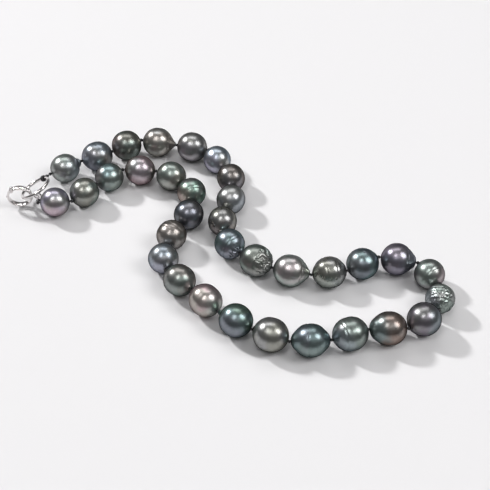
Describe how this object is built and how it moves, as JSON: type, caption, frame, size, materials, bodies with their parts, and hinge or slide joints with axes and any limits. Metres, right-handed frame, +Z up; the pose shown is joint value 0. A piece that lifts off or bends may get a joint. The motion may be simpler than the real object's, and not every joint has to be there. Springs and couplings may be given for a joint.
{
  "type": "pearl necklace",
  "caption": "Knotted strand of dark baroque pearls on black silk, closed by a plain ring hooked in a hinged hoop clip.",
  "frame": {"origin": "centre of the necklace's outline, on the table plane it lies on", "axes": "+X along the longer way of the laid strand, +Z up from the table"},
  "size_m": [0.1567, 0.1039, 0.0113],
  "materials": {
    "nacre_01": "lustrous nacre",
    "nacre_02": "lustrous nacre",
    "nacre_03": "lustrous nacre",
    "nacre_04": "lustrous nacre",
    "nacre_05": "lustrous nacre",
    "nacre_06": "lustrous nacre",
    "nacre_07": "lustrous nacre",
    "nacre_08": "lustrous nacre",
    "nacre_09": "lustrous nacre",
    "nacre_10": "lustrous nacre",
    "nacre_11": "lustrous nacre",
    "nacre_12": "lustrous nacre",
    "nacre_13": "lustrous nacre",
    "nacre_14": "lustrous nacre",
    "nacre_15": "lustrous nacre",
    "nacre_16": "lustrous nacre",
    "nacre_17": "lustrous nacre",
    "nacre_18": "lustrous nacre",
    "nacre_19": "lustrous nacre",
    "nacre_20": "lustrous nacre",
    "nacre_21": "lustrous nacre",
    "nacre_22": "lustrous nacre",
    "nacre_23": "lustrous nacre",
    "nacre_24": "lustrous nacre",
    "nacre_25": "lustrous nacre",
    "nacre_26": "lustrous nacre",
    "nacre_27": "lustrous nacre",
    "nacre_28": "lustrous nacre",
    "nacre_29": "lustrous nacre",
    "nacre_30": "lustrous nacre",
    "nacre_31": "lustrous nacre",
    "nacre_32": "lustrous nacre",
    "nacre_33": "lustrous nacre",
    "nacre_34": "lustrous nacre",
    "black_silk": "matt twisted silk",
    "white_metal": "polished, rhodium-like"
  },
  "bodies": {
    "pearl_01": {"pearl_01": "nacre_01"},
    "pearl_02": {"pearl_02": "nacre_02"},
    "pearl_03": {"pearl_03": "nacre_03"},
    "pearl_04": {"pearl_04": "nacre_04"},
    "pearl_05": {"pearl_05": "nacre_05"},
    "pearl_06": {"pearl_06": "nacre_06"},
    "pearl_07": {"pearl_07": "nacre_07"},
    "pearl_08": {"pearl_08": "nacre_08"},
    "pearl_09": {"pearl_09": "nacre_09"},
    "pearl_10": {"pearl_10": "nacre_10"},
    "pearl_11": {"pearl_11": "nacre_11"},
    "pearl_12": {"pearl_12": "nacre_12"},
    "pearl_13": {"pearl_13": "nacre_13"},
    "pearl_14": {"pearl_14": "nacre_14"},
    "pearl_15": {"pearl_15": "nacre_15"},
    "pearl_16": {"pearl_16": "nacre_16"},
    "pearl_17": {"pearl_17": "nacre_17", "silk_cord": "black_silk"},
    "pearl_18": {"pearl_18": "nacre_18"},
    "pearl_19": {"pearl_19": "nacre_19"},
    "pearl_20": {"pearl_20": "nacre_20"},
    "pearl_21": {"pearl_21": "nacre_21"},
    "pearl_22": {"pearl_22": "nacre_22"},
    "pearl_23": {"pearl_23": "nacre_23"},
    "pearl_24": {"pearl_24": "nacre_24"},
    "pearl_25": {"pearl_25": "nacre_25"},
    "pearl_26": {"pearl_26": "nacre_26"},
    "pearl_27": {"pearl_27": "nacre_27"},
    "pearl_28": {"pearl_28": "nacre_28"},
    "pearl_29": {"pearl_29": "nacre_29"},
    "pearl_30": {"pearl_30": "nacre_30"},
    "pearl_31": {"pearl_31": "nacre_31"},
    "pearl_32": {"pearl_32": "nacre_32"},
    "pearl_33": {"pearl_33": "nacre_33"},
    "pearl_34": {"pearl_34": "nacre_34"},
    "end_ring": {"end_ring": "white_metal"},
    "jump_ring_upright": {"jump_ring_upright": "white_metal"},
    "jump_ring_level": {"jump_ring_level": "white_metal"},
    "clip": {"clip_hoop": "white_metal", "tail_eye": "white_metal", "lever_pin": "white_metal"},
    "clip_lever": {"clip_lever": "white_metal"}
  },
  "joints": [
    {"name": "knot_16_bend", "type": "hinge", "parent": "pearl_17", "child": "pearl_16", "pos_m": [0.07432, -0.02184, 0.0054], "axis": [0, 0, 1], "range_deg": [-95, 5]},
    {"name": "knot_15_bend", "type": "hinge", "parent": "pearl_16", "child": "pearl_15", "pos_m": [0.06749, -0.0121, 0.0054], "axis": [0, 0, 1], "range_deg": [-95, 5]},
    {"name": "knot_14_bend", "type": "hinge", "parent": "pearl_15", "child": "pearl_14", "pos_m": [0.0541, -0.00974, 0.0054], "axis": [0, 0, 1], "range_deg": [-91, 9]},
    {"name": "knot_13_bend", "type": "hinge", "parent": "pearl_14", "child": "pearl_13", "pos_m": [0.04313, -0.01633, 0.0054], "axis": [0, 0, 1], "range_deg": [-29, 71]},
    {"name": "knot_12_bend", "type": "hinge", "parent": "pearl_13", "child": "pearl_12", "pos_m": [0.03062, -0.01853, 0.0054], "axis": [0, 0, 1], "range_deg": [-28, 72]},
    {"name": "knot_11_bend", "type": "hinge", "parent": "pearl_12", "child": "pearl_11", "pos_m": [0.01751, -0.01575, 0.0054], "axis": [0, 0, 1], "range_deg": [-34, 66]},
    {"name": "knot_10_bend", "type": "hinge", "parent": "pearl_11", "child": "pearl_10", "pos_m": [0.00639, -0.00983, 0.0054], "axis": [0, 0, 1], "range_deg": [-26, 74]},
    {"name": "knot_09_bend", "type": "hinge", "parent": "pearl_10", "child": "pearl_09", "pos_m": [-0.00094, -0.00045, 0.0054], "axis": [0, 0, 1], "range_deg": [-5, 95]},
    {"name": "knot_08_bend", "type": "hinge", "parent": "pearl_09", "child": "pearl_08", "pos_m": [0.00052, 0.01146, 0.0054], "axis": [0, 0, 1], "range_deg": [-36, 64]},
    {"name": "knot_07_bend", "type": "hinge", "parent": "pearl_08", "child": "pearl_07", "pos_m": [0.00475, 0.02247, 0.0054], "axis": [0, 0, 1], "range_deg": [-95, 5]},
    {"name": "knot_06_bend", "type": "hinge", "parent": "pearl_07", "child": "pearl_06", "pos_m": [-0.00001, 0.03316, 0.0054], "axis": [0, 0, 1], "range_deg": [-60, 40]},
    {"name": "knot_05_bend", "type": "hinge", "parent": "pearl_06", "child": "pearl_05", "pos_m": [-0.00649, 0.04278, 0.0054], "axis": [0, 0, 1], "range_deg": [-95, 5]},
    {"name": "knot_04_bend", "type": "hinge", "parent": "pearl_05", "child": "pearl_04", "pos_m": [-0.01876, 0.04516, 0.0054], "axis": [0, 0, 1], "range_deg": [-51, 49]},
    {"name": "knot_03_bend", "type": "hinge", "parent": "pearl_04", "child": "pearl_03", "pos_m": [-0.03235, 0.04756, 0.0054], "axis": [0, 0, 1], "range_deg": [-93, 7]},
    {"name": "knot_02_bend", "type": "hinge", "parent": "pearl_03", "child": "pearl_02", "pos_m": [-0.04275, 0.04081, 0.0054], "axis": [0, 0, 1], "range_deg": [-44, 56]},
    {"name": "knot_01_bend", "type": "hinge", "parent": "pearl_02", "child": "pearl_01", "pos_m": [-0.0538, 0.03518, 0.0054], "axis": [0, 0, 1], "range_deg": [-58, 42]},
    {"name": "knot_00_bend", "type": "hinge", "parent": "pearl_01", "child": "end_ring", "pos_m": [-0.06445, 0.02772, 0.0054], "axis": [0, 0, 1], "range_deg": [-40, 40]},
    {"name": "knot_17_bend", "type": "hinge", "parent": "pearl_17", "child": "pearl_18", "pos_m": [0.07232, -0.03317, 0.0054], "axis": [0, 0, 1], "range_deg": [-2, 12], "deforming": ["silk_cord"]},
    {"name": "knot_18_bend", "type": "hinge", "parent": "pearl_18", "child": "pearl_19", "pos_m": [0.06167, -0.04063, 0.0054], "axis": [0, 0, 1], "range_deg": [-18, 82]},
    {"name": "knot_19_bend", "type": "hinge", "parent": "pearl_19", "child": "pearl_20", "pos_m": [0.04849, -0.04132, 0.0054], "axis": [0, 0, 1], "range_deg": [-68, 32]},
    {"name": "knot_20_bend", "type": "hinge", "parent": "pearl_20", "child": "pearl_21", "pos_m": [0.03645, -0.04594, 0.0054], "axis": [0, 0, 1], "range_deg": [-33, 67]},
    {"name": "knot_21_bend", "type": "hinge", "parent": "pearl_21", "child": "pearl_22", "pos_m": [0.02288, -0.04689, 0.0054], "axis": [0, 0, 1], "range_deg": [-25, 75]},
    {"name": "knot_22_bend", "type": "hinge", "parent": "pearl_22", "child": "pearl_23", "pos_m": [0.01074, -0.04223, 0.0054], "axis": [0, 0, 1], "range_deg": [-39, 61]},
    {"name": "knot_23_bend", "type": "hinge", "parent": "pearl_23", "child": "pearl_24", "pos_m": [-0.00045, -0.03524, 0.0054], "axis": [0, 0, 1], "range_deg": [-35, 65]},
    {"name": "knot_24_bend", "type": "hinge", "parent": "pearl_24", "child": "pearl_25", "pos_m": [-0.00898, -0.02609, 0.0054], "axis": [0, 0, 1], "range_deg": [-58, 42]},
    {"name": "knot_25_bend", "type": "hinge", "parent": "pearl_25", "child": "pearl_26", "pos_m": [-0.01861, -0.01829, 0.0054], "axis": [0, 0, 1], "range_deg": [-11, 89]},
    {"name": "knot_26_bend", "type": "hinge", "parent": "pearl_26", "child": "pearl_27", "pos_m": [-0.02109, -0.00665, 0.0054], "axis": [0, 0, 1], "range_deg": [-5, 95]},
    {"name": "knot_27_bend", "type": "hinge", "parent": "pearl_27", "child": "pearl_28", "pos_m": [-0.0146, 0.00333, 0.0054], "axis": [0, 0, 1], "range_deg": [-59, 41]},
    {"name": "knot_28_bend", "type": "hinge", "parent": "pearl_28", "child": "pearl_29", "pos_m": [-0.00972, 0.01429, 0.0054], "axis": [0, 0, 1], "range_deg": [-95, 5]},
    {"name": "knot_29_bend", "type": "hinge", "parent": "pearl_29", "child": "pearl_30", "pos_m": [-0.01402, 0.0255, 0.0054], "axis": [0, 0, 1], "range_deg": [-95, 5]},
    {"name": "knot_30_bend", "type": "hinge", "parent": "pearl_30", "child": "pearl_31", "pos_m": [-0.02526, 0.0305, 0.0054], "axis": [0, 0, 1], "range_deg": [-72, 28]},
    {"name": "knot_31_bend", "type": "hinge", "parent": "pearl_31", "child": "pearl_32", "pos_m": [-0.03795, 0.03094, 0.0054], "axis": [0, 0, 1], "range_deg": [-93, 7]},
    {"name": "knot_32_bend", "type": "hinge", "parent": "pearl_32", "child": "pearl_33", "pos_m": [-0.04701, 0.02307, 0.0054], "axis": [0, 0, 1], "range_deg": [-59, 41]},
    {"name": "knot_33_bend", "type": "hinge", "parent": "pearl_33", "child": "pearl_34", "pos_m": [-0.05466, 0.01395, 0.0054], "axis": [0, 0, 1], "range_deg": [-5, 95]},
    {"name": "silk_loop_bend", "type": "hinge", "parent": "pearl_34", "child": "jump_ring_upright", "pos_m": [-0.06677, 0.014, 0.0054], "axis": [0, 0, 1], "range_deg": [-40, 40]},
    {"name": "jump_rings_swivel", "type": "hinge", "parent": "jump_ring_upright", "child": "jump_ring_level", "pos_m": [-0.06703, 0.01588, 0.0054], "axis": [0, 0, 1], "range_deg": [-40, 40]},
    {"name": "tail_eye_swivel", "type": "hinge", "parent": "jump_ring_level", "child": "clip", "pos_m": [-0.06772, 0.01656, 0.0054], "axis": [0, 0, 1], "range_deg": [-40, 40]},
    {"name": "lever_open", "type": "hinge", "parent": "clip", "child": "clip_lever", "pos_m": [-0.07112, 0.0162, 0.00871], "axis": [-0.1045, 0.9945, 0], "range_deg": [0, 65]}
  ],
  "couplings": [
    {"joint": "knot_16_bend", "follows": "knot_17_bend", "ratio": -0.33},
    {"joint": "knot_15_bend", "follows": "knot_17_bend", "ratio": -0.78},
    {"joint": "knot_14_bend", "follows": "knot_17_bend", "ratio": -1.19},
    {"joint": "knot_13_bend", "follows": "knot_17_bend", "ratio": 1.32},
    {"joint": "knot_12_bend", "follows": "knot_17_bend", "ratio": 1.09},
    {"joint": "knot_11_bend", "follows": "knot_17_bend", "ratio": 0.52},
    {"joint": "knot_10_bend", "follows": "knot_17_bend", "ratio": 0.54},
    {"joint": "knot_09_bend", "follows": "knot_17_bend", "ratio": 1.21},
    {"joint": "knot_08_bend", "follows": "knot_17_bend", "ratio": 0.54},
    {"joint": "knot_07_bend", "follows": "knot_17_bend", "ratio": -1.21},
    {"joint": "knot_06_bend", "follows": "knot_17_bend", "ratio": -0.25},
    {"joint": "knot_05_bend", "follows": "knot_17_bend", "ratio": -0.75},
    {"joint": "knot_04_bend", "follows": "knot_17_bend", "ratio": 0.29},
    {"joint": "knot_03_bend", "follows": "knot_17_bend", "ratio": -1.03},
    {"joint": "knot_02_bend", "follows": "knot_17_bend", "ratio": 0.25},
    {"joint": "knot_01_bend", "follows": "knot_17_bend", "ratio": -0.49},
    {"joint": "knot_00_bend", "follows": "knot_17_bend", "ratio": -0.71},
    {"joint": "knot_18_bend", "follows": "knot_17_bend", "ratio": 0.25},
    {"joint": "knot_19_bend", "follows": "knot_17_bend", "ratio": -1.34},
    {"joint": "knot_20_bend", "follows": "knot_17_bend", "ratio": 0.25},
    {"joint": "knot_21_bend", "follows": "knot_17_bend", "ratio": 0.54},
    {"joint": "knot_22_bend", "follows": "knot_17_bend", "ratio": 0.35},
    {"joint": "knot_23_bend", "follows": "knot_17_bend", "ratio": 0.5},
    {"joint": "knot_24_bend", "follows": "knot_17_bend", "ratio": -0.38},
    {"joint": "knot_25_bend", "follows": "knot_17_bend", "ratio": 0.93},
    {"joint": "knot_26_bend", "follows": "knot_17_bend", "ratio": 0.75},
    {"joint": "knot_27_bend", "follows": "knot_17_bend", "ratio": -0.52},
    {"joint": "knot_28_bend", "follows": "knot_17_bend", "ratio": -1.56},
    {"joint": "knot_29_bend", "follows": "knot_17_bend", "ratio": -1.55},
    {"joint": "knot_30_bend", "follows": "knot_17_bend", "ratio": -0.33},
    {"joint": "knot_31_bend", "follows": "knot_17_bend", "ratio": -0.53},
    {"joint": "knot_32_bend", "follows": "knot_17_bend", "ratio": -0.25},
    {"joint": "knot_33_bend", "follows": "knot_17_bend", "ratio": 0.67},
    {"joint": "silk_loop_bend", "follows": "knot_17_bend", "ratio": -0.25},
    {"joint": "jump_rings_swivel", "follows": "knot_17_bend", "ratio": 0.25},
    {"joint": "tail_eye_swivel", "follows": "knot_17_bend", "ratio": 0.25}
  ]
}
